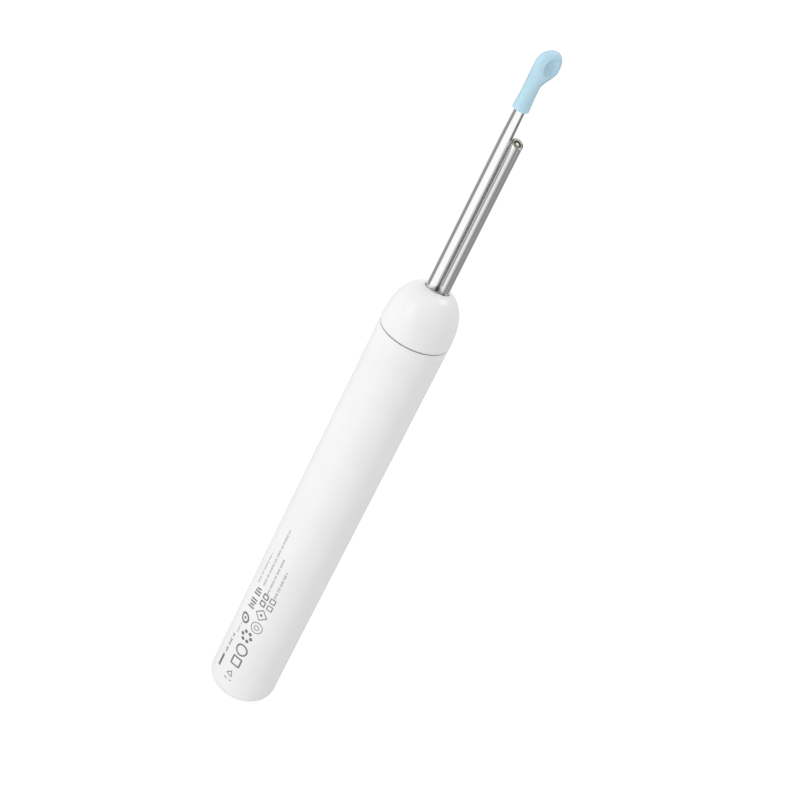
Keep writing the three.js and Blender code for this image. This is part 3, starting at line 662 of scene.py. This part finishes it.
def mouth_seal():
    """Grey rubber that fills the mouth round both tubes, a little below its edge."""
    foot, top = SEAM_Z + 7.05, MOUTH_Z - MOUTH_DEPTH
    facets, clear = 96, 0.03
    bm = bmesh.new()
    skin(bm, [
        [(MOUTH_X, 0, foot)],
        mouth_oval(-clear, facets, lambda x, y: foot),
        mouth_oval(-clear, facets, lambda x, y: top - 0.05),
        mouth_oval(-0.08, facets, lambda x, y: top),
        [(MOUTH_X, 0, top)],
    ])
    piece = finish_mesh("mouth_seal", bm, BODY, replaces=["tube_seal"], slot="seal_rubber")
    cut(piece, [
        along_z(circle(ROD_R + clear, (ROD_X, 0), 64), foot - 1, top + 1),
        along_z(circle(TUBE_R + clear, (TUBE_X, 0), 64), foot - 1, top + 1),
    ])
    return coat(piece, MOUTH_SEAL)


# ---------------------------------------------------------------- tubes
def rod():
    """The scoop rod, drawn in towards its end."""
    taper_from, taper_to, steps = 125.0, 131.0, 24
    neck, end_round = 0.96, 0.3
    foot, end = ROD_LOW[2], ROD_HIGH[2]
    profile = [(0, foot), (ROD_R, foot)]
    for i in range(steps + 1):
        z = taper_from + (taper_to - taper_from) * i / steps
        profile.append((ROD_R + (neck - ROD_R) * smooth_step(taper_from, taper_to, z), z))
    profile += [*corner((neck - end_round, end - end_round), end_round, 0, 90, 6), (0, end)]
    piece = turned(
        "rod", profile, 72, centre=(ROD_X, 0), replaces=["scoop_rod"], slot="tube_steel", sharp=60)
    return coat(piece, ROD_STEEL)


def face_z(x, y, lift=0.0):
    """Height of the slanted camera face, `lift` above it."""
    return FACE_Z + lift + FACE_SLOPE[0] * (x - TUBE_X) + FACE_SLOPE[1] * y


def slanted(name, steps, facets, **kinds):
    """A piece on the camera tube's axis: each step is (radius, height or None, lift above the face)."""
    rings = []
    for radius, height, lift in steps:
        level = circle(radius, (TUBE_X, 0), facets if radius > 0 else 1)
        rings.append([(x, y, face_z(x, y, lift) if height is None else height) for x, y in level])
    bm = bmesh.new()
    skin(bm, rings, wrap=steps[0][0] > 0)
    return finish_mesh(name, bm, BODY, **kinds)


def camera_tube():
    """The steel tube, with its edges broken at the slanted face."""
    rim, side_top = 0.05, 120.0
    piece = slanted("lens_tube", [
        (TUBE_BORE_R, TUBE_LOW[2], 0),
        (TUBE_R, TUBE_LOW[2], 0),
        (TUBE_R, side_top, 0),
        (TUBE_R, None, -rim),
        (TUBE_R - rim * 0.3, None, -rim * 0.3),
        (TUBE_R - rim, None, 0),
        (TUBE_BORE_R + rim, None, 0),
        (TUBE_BORE_R, None, -rim),
    ], 72, replaces=["camera_tube"], slot="tube_steel", sharp=50)
    return coat(piece, TUBE_STEEL)


def light_ring_cover():
    """The khaki resin ring that spreads the light of the chips behind it."""
    inner, outer = BARREL_R + 0.03, TUBE_BORE_R - 0.03
    piece = slanted("light_cover", [
        (inner, GUIDE_FOOT_Z, 0),
        (outer, GUIDE_FOOT_Z, 0),
        (outer, None, -0.07),
        (outer - 0.02, None, -0.04),
        (inner + 0.02, None, -0.04),
        (inner, None, -0.07),
    ], 64, replaces=["light_guide"], slot="light_guide", sharp=50)
    return coat(piece, AMBER)


def barrel():
    """The black lens barrel, coned in towards the window."""
    bore = WINDOW_R + 0.02
    piece = slanted("lens_holder", [
        (bore, BARREL_FOOT_Z, 0),
        (BARREL_R, BARREL_FOOT_Z, 0),
        (BARREL_R, None, -0.06),
        (BARREL_R - 0.04, None, -0.02),
        (BARREL_R - 0.14, None, -0.02),
        (bore, None, -0.13),
    ], 64, replaces=["lens_barrel"], slot="lens_black", sharp=50)
    return coat(piece, LENS_BLACK)


def window():
    """The front glass, crowned so that it catches the light; its pale cream colour is a painted highlight.
    """
    back, rim, crown, count = -0.4, -0.14, 0.07, 6
    steps = [(0, None, back), (WINDOW_R, None, back), (WINDOW_R, None, rim)]
    for i in range(1, count):
        angle = (math.pi / 2) * i / count
        steps.append((WINDOW_R * math.cos(angle), None, rim + crown * math.sin(angle)))
    steps.append((0, None, rim + crown))
    piece = slanted("front_glass", steps, 48, replaces=["lens_window"], slot="optic_glass", sharp=50)
    return coat(piece, FRONT_GLASS_PAINTED_HIGHLIGHT)


# ---------------------------------------------------------------- soft tip
TIP_FOOT_Z, TIP_END_Z = TIP_LOW[2], TIP_HIGH[2]
TIP_FOOT_R = 1.43
FOOT_DRAFT = 0.12                       # the neck narrows by this over FOOT_DRAFT_H
FOOT_DRAFT_H = 3
HEAD_FROM_Z, HEAD_FULL_Z = 135.6, 139.6  # the tip widens from the neck to the head here
HEAD_CENTRE_Z = 140.0
HEAD_ACROSS, HEAD_DEEP = 2.36, 1.5      # half-widths of the head
HEAD_LEAN, CAP_LEAN = 1.14, 0.3         # how far it leans, and how much more at its very end
BOWL_TURN = math.radians(-50)


def tip_section(z):
    """Half-widths across and front to back, and lean towards the bowl side, at height z."""
    spread = smooth_step(HEAD_FROM_Z, HEAD_FULL_Z, z)
    over = max(z - HEAD_CENTRE_Z, 0.0) / (TIP_END_Z - HEAD_CENTRE_Z)
    cap = math.sqrt(max(1 - over * over, 0.0))
    neck = TIP_FOOT_R - FOOT_DRAFT * smooth_step(TIP_FOOT_Z, TIP_FOOT_Z + FOOT_DRAFT_H, z)
    across, deep = (neck + (half - neck) * spread for half in (HEAD_ACROSS, HEAD_DEEP))
    return across * cap, deep * cap, HEAD_LEAN * spread + CAP_LEAN * over * over


def press_bowl(bm):
    """Presses the bowl's ellipsoid into the front of the head; returns the vertices in and next to it."""
    centre_x, centre_z = 3.13, HEAD_CENTRE_Z
    deep, across, tall = 1.2, 1.6, 2.25
    pressed = []
    for v in bm.verts:
        if v.co.x < tip_section(v.co.z)[2]:
            continue
        outward = (v.co.y / across) ** 2 + ((v.co.z - centre_z) / tall) ** 2
        if outward >= 1:
            continue
        floor = centre_x - deep * math.sqrt(1 - outward)
        if v.co.x > floor:
            v.co.x = floor
            pressed.append(v)
    near = set(pressed)
    for v in pressed:
        near.update(e.other_vert(v) for e in v.link_edges)
    return near


def tip():
    """The soft tip: a neck over the rod, a leaning oval head and a bowl pressed into its front."""
    facets = 96
    socket_top, socket_r = ROD_HIGH[2] + 0.3, 1.01
    foot, lip = TIP_FOOT_Z, 0.1
    lip_steps, body_steps, cap_steps = 4, 70, 30

    def section_ring(z, shrink=0.0):
        across, deep, lean = tip_section(z)
        outline = oval(deep - shrink, across - shrink, (lean, 0), facets)
        return [(x, y, z) for x, y in outline]

    rings = [
        [(0, 0, socket_top)],
        ring(socket_top, socket_r * 0.7, facets),
        ring(socket_top - 0.2, socket_r, facets),
        ring(foot + lip, socket_r, facets),
        ring(foot, socket_r + lip, facets),
    ]
    for i in range(lip_steps + 1):
        angle = (math.pi / 2) * i / lip_steps
        z = foot + lip * (1 - math.cos(angle))
        rounded = section_ring(foot + lip, lip * (1 - math.sin(angle)))
        rings.append([(x, y, z) for x, y, _ in rounded])
    for i in range(1, body_steps + 1):
        rings.append(section_ring(foot + lip + (HEAD_CENTRE_Z - foot - lip) * i / body_steps))
    for i in range(1, cap_steps):
        rise = math.sin((math.pi / 2) * i / cap_steps)
        rings.append(section_ring(HEAD_CENTRE_Z + (TIP_END_Z - HEAD_CENTRE_Z) * rise))
    rings.append([(tip_section(TIP_END_Z)[2], 0, TIP_END_Z)])

    bm = bmesh.new()
    skin(bm, rings)
    near = list(press_bowl(bm))
    for _ in range(2):
        bmesh.ops.smooth_vert(
            bm, verts=near, factor=0.5, use_axis_x=True, use_axis_y=True, use_axis_z=True)
    bmesh.ops.rotate(bm, cent=(0, 0, 0), matrix=Matrix.Rotation(BOWL_TURN, 3, "Z"), verts=bm.verts)
    bmesh.ops.translate(bm, vec=(ROD_X, 0, 0), verts=bm.verts)
    piece = finish_mesh("scoop", bm, TIP, replaces=["scoop_tip"], slot="soft_silicone", sharp=80)
    return coat(piece, SILICONE)


# ---------------------------------------------------------------- button, light and port
def button():
    """The button: a shallow dished cap with a ring groove."""
    foot, crown = CAP_LOW[1], CAP_HIGH[1]
    flange_r, flange_top = 3.2, foot + 0.4
    edge, rim_drop, dish = 0.3, 0.05, 0.16
    groove_r, groove_width, groove_depth = 1.3, 0.1, 0.06
    top, steps = BUTTON_R - edge, 12
    profile = [(0, foot), (flange_r, foot), (flange_r, flange_top), (BUTTON_R, flange_top)]
    profile += corner((top, crown - rim_drop - edge), edge, 0, 90, 8)
    for i in range(1, steps + 1):
        share = 1 - i / steps
        groove = groove_depth * math.exp(-(((share * top - groove_r) / groove_width) ** 2))
        profile.append((top * share, crown - rim_drop - dish * (1 - share * share) - groove))
    piece = turned_along_y(
        "button", profile, 96, BUTTON_Z, BUTTON, replaces=["button_cap"], slot="shell_white", sharp=50)
    return coat(piece, WHITE)


def light():
    """The status light's frosted pipe with a slightly domed end."""
    radius, edge, crown = 0.52, 0.1, 0.02
    foot, end = PIPE_LOW[1], PIPE_HIGH[1]
    profile = [(0, foot), (radius, foot)]
    profile += corner((radius - edge, end - crown - edge), edge, 0, 90, 4)
    profile.append((0, end))
    piece = turned_along_y(
        "light_window", profile, 40, LIGHT_Z, BODY, replaces=["light_pipe"], slot="light_pipe", sharp=50)
    return coat(piece, FROSTED)


def loft_slots(name, steps, capped=False, **kinds):
    """A piece through rounded rectangles: each step is (width, height, corner radius, z)."""
    rings = [[(x, y, z) for x, y in round_slot(w, h, r)] for w, h, r, z in steps]
    if capped:
        rings = [[(0, 0, steps[0][3])], *rings, [(0, 0, steps[-1][3])]]
    bm = bmesh.new()
    skin(bm, rings, wrap=not capped)
    return finish_mesh(name, bm, BODY, **kinds)


def port():
    """The charging inlet's drawn steel shell with a rolled lip, and the rubber seal round it."""
    mouth, back, wall = PORT_LOW[2], PORT_HIGH[2], 0.3
    shell = loft_slots("port_shell", [
        (8.34, 2.54, 1.22, back - wall),
        (8.34, 2.54, 1.22, mouth + 0.15),
        (8.42, 2.62, 1.26, mouth + 0.04),
        (8.56, 2.76, 1.33, mouth),
        (8.8, 3.0, 1.45, mouth + 0.04),
        (8.9, 3.1, 1.5, mouth + 0.15),
        (8.9, 3.1, 1.5, back),
    ], capped=True, replaces=["usb_shell"], slot="screw_steel")
    coat(shell, PLATED_STEEL)
    seal_low, seal_high = 1.5, 2.4
    seal = loft_slots("port_seal", [
        (9.0, 3.18, 1.54, seal_low),
        (9.3, 4.3, 2.1, seal_low),
        (9.3, 4.3, 2.1, seal_high),
        (9.0, 3.18, 1.54, seal_high),
    ], replaces=["usb_seal"], slot="seal_rubber")
    coat(seal, SEAL)


def tongue():
    """The port's tongue on a stepped root, with its row of contact pads on both sides."""
    tip_z, root_z, back = 1.3, 6.1, 7.65
    piece = loft_slots("port_tongue", [
        (6.3, 0.3, 0.1, tip_z),
        (6.6, 0.62, 0.15, tip_z + 0.15),
        (6.6, 0.7, 0.15, tip_z + 0.4),
        (6.6, 0.7, 0.15, root_z),
        (8.2, 2.4, 1.15, root_z),
        (8.2, 2.4, 1.15, back),
    ], capped=True, replaces=["usb_tongue"], slot="chip_black")
    coat(piece, CHIP)
    pads = bmesh.new()
    pad_count, pitch = 12, 0.5
    size = Matrix.Diagonal((0.26, 0.04, 3.2, 1))
    for side in (-1, 1):
        for i in range(pad_count):
            x = (i - (pad_count - 1) / 2) * pitch
            place = Matrix.Translation((x, side * 0.36, tip_z + 2.2))
            made = bmesh.ops.create_cube(pads, size=1.0, matrix=place @ size)
            edges = list({e for v in made["verts"] for e in v.link_edges})
            bmesh.ops.bevel(pads, geom=edges, offset=0.012, segments=1, affect="EDGES")
    coat(finish_mesh("port_pads", pads, BODY, slot="screw_steel"), PLATED_STEEL)


# ---------------------------------------------------------------- print near the tail
INK = 0.015  # how far the ink stands off the surface
DEGREES_PER_MM = math.degrees(1 / HANDLE_R)


def on_handle(angle, z, lift=0.0):
    """Point on the handle's side: angle in degrees from the viewer's side towards the camera tube."""
    a = math.radians(angle)
    r = HANDLE_R + lift
    return (r * math.sin(a), -r * math.cos(a), z)


def finer(outline, step=0.2):
    """The same closed outline with points at least every `step` mm, so that it hugs the handle."""
    points = []
    for (a0, z0), (a1, z1) in zip(outline, outline[1:] + outline[:1]):
        length = math.hypot(math.radians(a1 - a0) * HANDLE_R, z1 - z0)
        count = max(1, math.ceil(length / step))
        points += [(a0 + (a1 - a0) * k / count, z0 + (z1 - z0) * k / count) for k in range(count)]
    return points


def line_sides(outline, width):
    """Both sides of a line `width` millimetres wide that follows a closed outline."""
    near, far = [], []
    for i, (a, z) in enumerate(outline):
        a0, z0 = outline[i - 1]
        a1, z1 = outline[(i + 1) % len(outline)]
        dx, dz = (a1 - a0) / DEGREES_PER_MM, z1 - z0
        length = math.hypot(dx, dz)
        nx, nz = -dz / length * width / 2, dx / length * width / 2
        near.append((a + nx * DEGREES_PER_MM, z + nz))
        far.append((a - nx * DEGREES_PER_MM, z - nz))
    return near, far


def raised(bm, loop, lift):
    """The vertices of an outline, `lift` above the handle."""
    return [bm.verts.new(on_handle(a, z, lift)) for a, z in loop]


def stamp(bm, outline, width=0.0):
    """A thin patch of ink inside an (angle, z) outline, or a line of that width along it."""
    outline = finer(outline)
    count = len(outline)
    loops = line_sides(outline, width) if width else [outline]
    low = [raised(bm, loop, -INK) for loop in loops]
    high = [raised(bm, loop, INK) for loop in loops]
    for i in range(count):
        j = (i + 1) % count
        if width:
            bm.faces.new((high[0][i], high[0][j], high[1][j], high[1][i]))
            bm.faces.new((low[0][j], low[0][i], low[1][i], low[1][j]))
            bm.faces.new((low[1][j], low[1][i], high[1][i], high[1][j]))
        bm.faces.new((low[0][i], low[0][j], high[0][j], high[0][i]))
    if not width:
        bm.faces.new(high[0])
        bm.faces.new(list(reversed(low[0])))


def bar(bm, angle, z0, z1, width, slant=0.0):
    """A solid bar `width` mm round the handle; slant shifts its far side up along the pen."""
    half = width / 2 * DEGREES_PER_MM
    left, right = angle - half, angle + half
    stamp(bm, [(left, z0), (right, z0 + slant), (right, z1 + slant), (left, z1)])


def polygon(angle, z, radius, sides, start=0.0):
    """A regular outline on the handle's side; many sides make a circle."""
    turns = [start + TAU * i / sides for i in range(sides)]
    return [
        (angle + radius * DEGREES_PER_MM * math.cos(t), z + radius * math.sin(t))
        for t in turns
    ]


def tick_row(
    bm, angle, z_low, z_high, height, tick=0.12, pitch=0.29, words=(6, 3, 8, 4), slant=0.0,
):
    """A row of short strokes along the pen; words says how many strokes stand in each group."""
    z, word, left = z_low, 0, words[0]
    while z + tick < z_high:
        bar(bm, angle, z, z + tick, height * (1.0 if left % 3 else 0.7), slant)
        z += pitch
        left -= 1
        if left == 0:
            z += pitch
            word += 1
            left = words[word % len(words)]


def print_marks():
    """Generic grey marks near the tail: rows of strokes and a few plain shapes, with no lettering."""
    square = TAU / 8  # a polygon of 4 sides with this start has level sides
    bm = bmesh.new()
    # rows of fine strokes, and one hatched block
    tick_row(bm, -52.3, 26.9, 34.5, 0.4)
    tick_row(bm, -38.0, 27.6, 41.4, 0.42)
    tick_row(bm, -24.0, 26.6, 35.5, 0.42, words=(5, 7, 3))
    tick_row(bm, -9.8, 26.9, 33.5, 0.45, words=(5, 4))
    tick_row(bm, -42.5, 21.2, 26.8, 1.7, tick=0.34, pitch=0.66, words=(4, 5), slant=0.45)
    # two pairs of squares, a dotted diamond, and two pairs of rings
    for z in (24.3, 26.0):
        stamp(bm, polygon(-9.8, z, 0.72, 4, square), width=0.2)
        stamp(bm, polygon(-24.1, z, 0.72, 4, square), width=0.26)
    stamp(bm, polygon(-17.3, 21.9, 1.25, 4), width=0.2)
    stamp(bm, polygon(-17.3, 21.9, 0.3, 12))
    stamp(bm, polygon(-43.0, 18.7, 0.95, 28), width=0.42)
    stamp(bm, polygon(-43.0, 18.7, 0.3, 16))
    stamp(bm, polygon(-15.0, 18.8, 1.2, 32), width=0.16)
    stamp(bm, polygon(-15.0, 18.8, 0.5, 24), width=0.14)
    # a ring of six dots between two short rows of strokes
    tick_row(bm, -45.0, 14.6, 17.3, 0.35)
    for step in range(6):
        a = TAU * step / 6
        stamp(bm, polygon(-24.2 + 9.0 * math.cos(a), 15.7 + 1.05 * math.sin(a), 0.38, 12))
    tick_row(bm, -49.3, 8.9, 13.7, 0.62, tick=0.24, pitch=0.45, words=(3, 4), slant=0.1)
    # a thick bar, then a ring, a square and a triangle over a thin bar
    bar(bm, -50.4, 5.2, 8.2, 0.62)
    stamp(bm, polygon(-21.0, 12.3, 1.2, 32), width=0.34)
    stamp(bm, polygon(-21.0, 9.3, 1.35, 4, square), width=0.34)
    stamp(bm, polygon(-21.5, 6.0, 0.75, 3, -square), width=0.18)
    bar(bm, -21.5, 4.4, 4.7, 1.6)
    piece = finish_mesh("tail_print", bm, BODY, slot="shell_white", sharp=60)
    return coat(piece, PRINT)


# ---------------------------------------------------------------- carried-over nodes
NODE_MATERIALS = {
    FRAME_GREY: ["tube_holder", "carrier_frame"],
    GLASS: ["lens_front", "lens_rear"],
    CERAMIC: ["light_ring", "flex_connector", "antenna_chip", "status_light"],
    LENS_BLACK: ["image_sensor"],
    BOARD_BLUE: ["sensor_board"],
    FLEX: ["camera_flex"],
    BOARD: ["main_board"],
    TIN: ["radio_can", "clock_crystal", "switch_body"],
    CHIP: ["radio_chip", "video_chip", "motion_sensor", "charge_chip", "power_coil", "switch_plunger"],
    PLATED_STEEL: ["board_screw_tail", "board_screw_front"],
    FOIL: ["battery_cell"],
    FOAM: ["battery_pad"],
    WIRE_RED: ["battery_lead_red"],
    WIRE_BLACK: ["battery_lead_black"],
}


def dress_nodes():
    """Gives the inside pieces, which keep their CAD solids, their materials."""
    for material, names in NODE_MATERIALS.items():
        for name in names:
            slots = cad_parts[name].material_slots
            if len(slots) == 0:
                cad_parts[name].data.materials.append(material)
            for entry in slots:
                entry.link = "OBJECT"
                entry.material = material


# ---------------------------------------------------------------- floor, light and world
def make_floor():
    """A plain pale floor that reaches far beyond the pen."""
    bm = bmesh.new()
    skin(bm, [[(0, 0, 0)], *[ring(0, r, 96) for r in (40, 120, 400, 1200, 4000)]])
    floor = to_object("floor", bm)
    floor.location.z = cad_low[2] - 0.1 * MM
    floor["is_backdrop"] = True
    paint = Paint("floor", roughness=0.9)
    paint.colour(paint.noise(0.004), (0.30, 0.30, 0.30), (0.33, 0.33, 0.33))
    paint.set("Emission Color", (1, 1, 1, 1))
    paint.set("Emission Strength", 0.74)
    paint.set("Specular IOR Level", 0.0)
    floor.data.materials.append(paint.material)
    floor.visible_glossy = False


def soft_box(name, place, size, power):
    """An area light that faces the middle of the pen and is not seen by the camera."""
    data = bpy.data.lights.new(name, "AREA")
    data.shape = "RECTANGLE"
    data.size, data.size_y = (v * MM for v in size)
    data.energy = power
    lamp = bpy.data.objects.new(name, data)
    bpy.context.scene.collection.objects.link(lamp)
    target = Vector((0, 0, 75 * MM))
    lamp.location = Vector(place) * MM
    lamp.rotation_mode = "QUATERNION"
    lamp.rotation_quaternion = (lamp.location - target).to_track_quat("Z", "Y")
    lamp.visible_camera = False


def surroundings(nodes, links, share, levels, strength):
    """A background whose brightness goes round the pen as (degrees, level) pairs say."""
    background = nodes.new("ShaderNodeBackground")
    background.inputs["Strength"].default_value = strength
    links.new(grey_ramp(nodes, links, share, levels), background.inputs["Color"])
    return background.outputs["Background"]


# degrees round the pen from the viewer's side, and how bright the studio is there
MIRRORED = [
    (-180, 0.6), (-150, 0.42), (-112, 0.34), (-66, 0.22), (-46, 0.95),
    (58, 0.95), (80, 0.22), (100, 0.26), (150, 0.40), (180, 0.6),
]
DIFFUSED = [(-180, 0.7), (-110, 0.88), (-60, 0.92), (-10, 0.56), (60, 0.42), (100, 0.62), (180, 0.7)]


def make_world():
    """White studio: mirrors see soft boxes with grey between them, dull surfaces see light from the left."""
    world = bpy.data.worlds.new("studio")
    bpy.context.scene.world = world
    world.use_nodes = True
    nodes, links = world.node_tree.nodes, world.node_tree.links
    nodes.clear()
    place = nodes.new("ShaderNodeTexCoord")
    share = azimuth(nodes, links, place.outputs["Generated"])
    mirrored = surroundings(nodes, links, share, MIRRORED, 1.15)
    diffused = surroundings(nodes, links, share, DIFFUSED, 1.3)
    seen = surroundings(nodes, links, share, [(-180, 1.0), (180, 1.0)], 1.0)
    ray = nodes.new("ShaderNodeLightPath")

    def pick(test, yes, no):
        mix = nodes.new("ShaderNodeMixShader")
        links.new(ray.outputs[test], mix.inputs["Fac"])
        links.new(no, mix.inputs[1])
        links.new(yes, mix.inputs[2])
        return mix.outputs["Shader"]

    reflected = pick("Is Glossy Ray", mirrored, diffused)
    whole = pick("Is Camera Ray", seen, reflected)
    out = nodes.new("ShaderNodeOutputWorld")
    links.new(whole, out.inputs["Surface"])


# ---------------------------------------------------------------- the whole scene
handle()
dome()
seam()
mouth_seal()
rod()
camera_tube()
light_ring_cover()
barrel()
window()
tip()
button()
light()
port()
tongue()
print_marks()
dress_nodes()
make_floor()
make_world()
soft_box("key", (-380, -320, 260), (190, 320), 0.5)
soft_box("top", (240, 160, 540), (150, 150), 0.55)
bpy.context.scene.view_settings.view_transform = "Standard"
